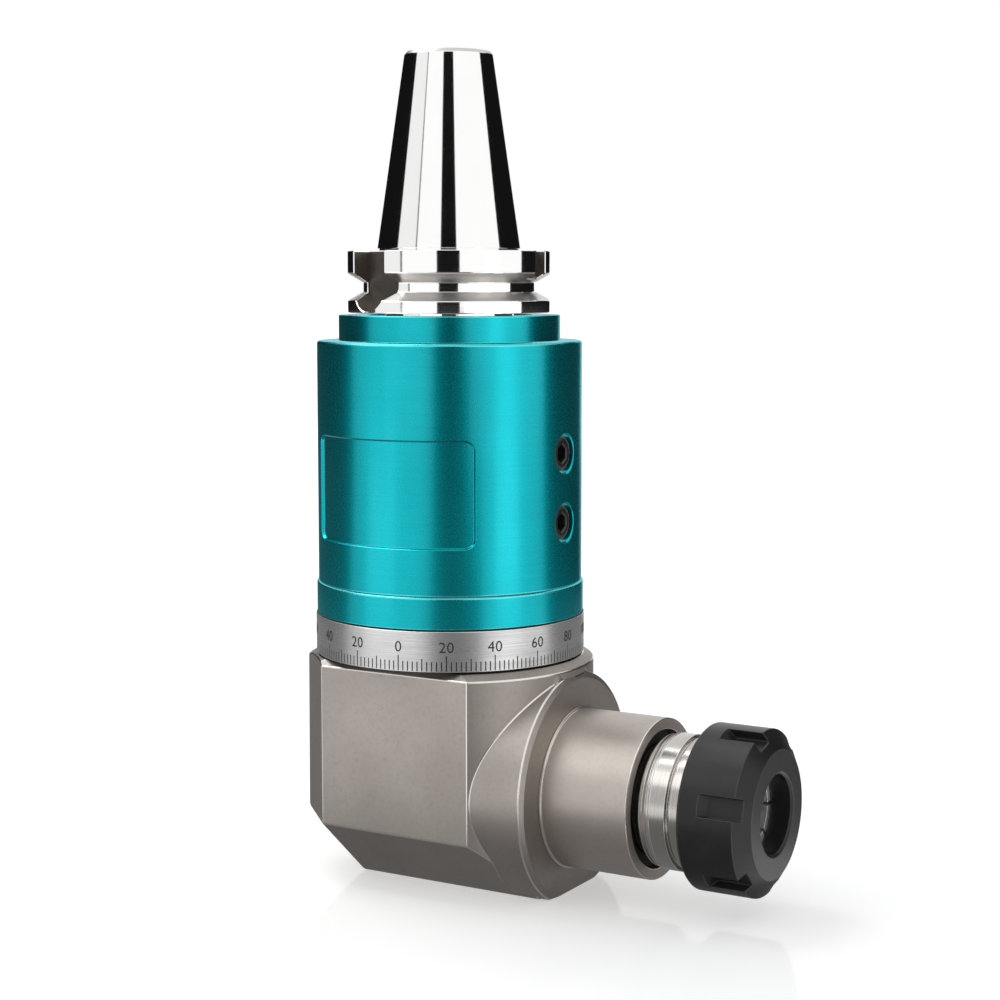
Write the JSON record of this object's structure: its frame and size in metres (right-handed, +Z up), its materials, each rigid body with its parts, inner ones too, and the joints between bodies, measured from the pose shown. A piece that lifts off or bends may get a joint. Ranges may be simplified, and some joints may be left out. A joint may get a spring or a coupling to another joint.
{
  "type": "angle head",
  "caption": "Right-angle milling head: steep taper shank, round swivelling body, graduated ring, bevel gears in a steel case and a side spindle with collet and slotted nut.",
  "frame": {"origin": "centre of the flat base, under the input axis", "axes": "+Z up along the input axis to the taper shank, +X along the output spindle to its nut"},
  "size_m": [0.1578, 0.0848, 0.2576],
  "materials": {
    "case_steel": "satin, bead blasted and ground",
    "scale_steel": "satin with dark engraved scale",
    "teal_anodised": "teal anodised, satin",
    "shank_chrome": "ground and polished",
    "spindle_steel": "ground",
    "black_oxide": "black oxide",
    "bearing_steel": "polished",
    "cage_brass": "machined",
    "seal_rubber": "moulded",
    "gear_steel": "case hardened"
  },
  "bodies": {
    "housing": {"angle_housing": "case_steel", "bearing_sleeve": "case_steel", "swivel_retainer": "gear_steel", "grease_plug": "black_oxide", "nose_bearing_outer_rings": "bearing_steel", "nose_snap_ring": "gear_steel", "nose_seal": "seal_rubber", "tail_bearing_outer_ring": "bearing_steel", "preload_washer": "gear_steel"},
    "upper_body": {"bearing_quill": "gear_steel", "swivel_collar": "gear_steel", "graduated_ring": "scale_steel", "scale_ring_key": "gear_steel", "lock_ring": "teal_anodised", "body_shell": "teal_anodised", "body_screws": "black_oxide", "input_bearing_outer_rings": "bearing_steel", "input_outer_spacer": "gear_steel", "input_seal": "seal_rubber"},
    "input_shaft": {"taper_shank": "shank_chrome", "bevel_pinion": "gear_steel", "pinion_key": "gear_steel", "draw_screw": "black_oxide", "input_bearing_inner_rings": "bearing_steel", "input_inner_spacer": "gear_steel", "input_lock_washer": "gear_steel", "input_locknut": "black_oxide"},
    "output_shaft": {"output_spindle": "spindle_steel", "output_gear": "gear_steel", "gear_key": "gear_steel", "gear_locknut": "black_oxide", "nose_bearing_inner_rings": "bearing_steel", "spindle_lock_washer": "gear_steel", "spindle_locknut": "black_oxide", "tail_bearing_inner_ring": "bearing_steel"},
    "collet": {"collet": "spindle_steel"},
    "clamping_nut": {"clamping_nut": "black_oxide"},
    "input_cages": {"input_bearing_balls": "bearing_steel", "input_bearing_cages": "cage_brass"},
    "nose_cages": {"nose_bearing_balls": "bearing_steel", "nose_bearing_cages": "cage_brass"},
    "tail_cage": {"tail_bearing_balls": "bearing_steel", "tail_bearing_cage": "cage_brass"}
  },
  "joints": [
    {"name": "input_spin", "type": "hinge", "parent": "housing", "child": "input_shaft", "pos_m": [0, 0, 0.1], "axis": [0, 0, 1], "continuous": true},
    {"name": "output_spin", "type": "hinge", "parent": "housing", "child": "output_shaft", "pos_m": [0.05, 0, 0.032], "axis": [1, 0, 0], "continuous": true},
    {"name": "body_swivel", "type": "hinge", "parent": "housing", "child": "upper_body", "pos_m": [0, 0, 0.071], "axis": [0, 0, 1], "continuous": true},
    {"name": "collet_slide", "type": "slide", "parent": "output_shaft", "child": "collet", "axis": [1, 0, 0], "range_m": [0, 0.0045]},
    {"name": "nut_turn", "type": "hinge", "parent": "collet", "child": "clamping_nut", "pos_m": [0.1, 0, 0.032], "axis": [1, 0, 0], "range_deg": [0, 1080]},
    {"name": "input_cage_spin", "type": "hinge", "parent": "housing", "child": "input_cages", "pos_m": [0, 0, 0.12], "axis": [0, 0, 1], "continuous": true},
    {"name": "nose_cage_spin", "type": "hinge", "parent": "housing", "child": "nose_cages", "pos_m": [0.054, 0, 0.032], "axis": [1, 0, 0], "continuous": true},
    {"name": "tail_cage_spin", "type": "hinge", "parent": "housing", "child": "tail_cage", "pos_m": [-0.025, 0, 0.032], "axis": [1, 0, 0], "continuous": true}
  ],
  "couplings": [
    {"joint": "output_spin", "follows": "input_spin", "ratio": -1},
    {"joint": "input_cage_spin", "follows": "input_spin", "ratio": 0.416},
    {"joint": "nose_cage_spin", "follows": "input_spin", "ratio": -0.42537},
    {"joint": "tail_cage_spin", "follows": "input_spin", "ratio": -0.41167},
    {"joint": "nut_turn", "follows": "collet_slide", "rad_per_m": 4188.8}
  ]
}
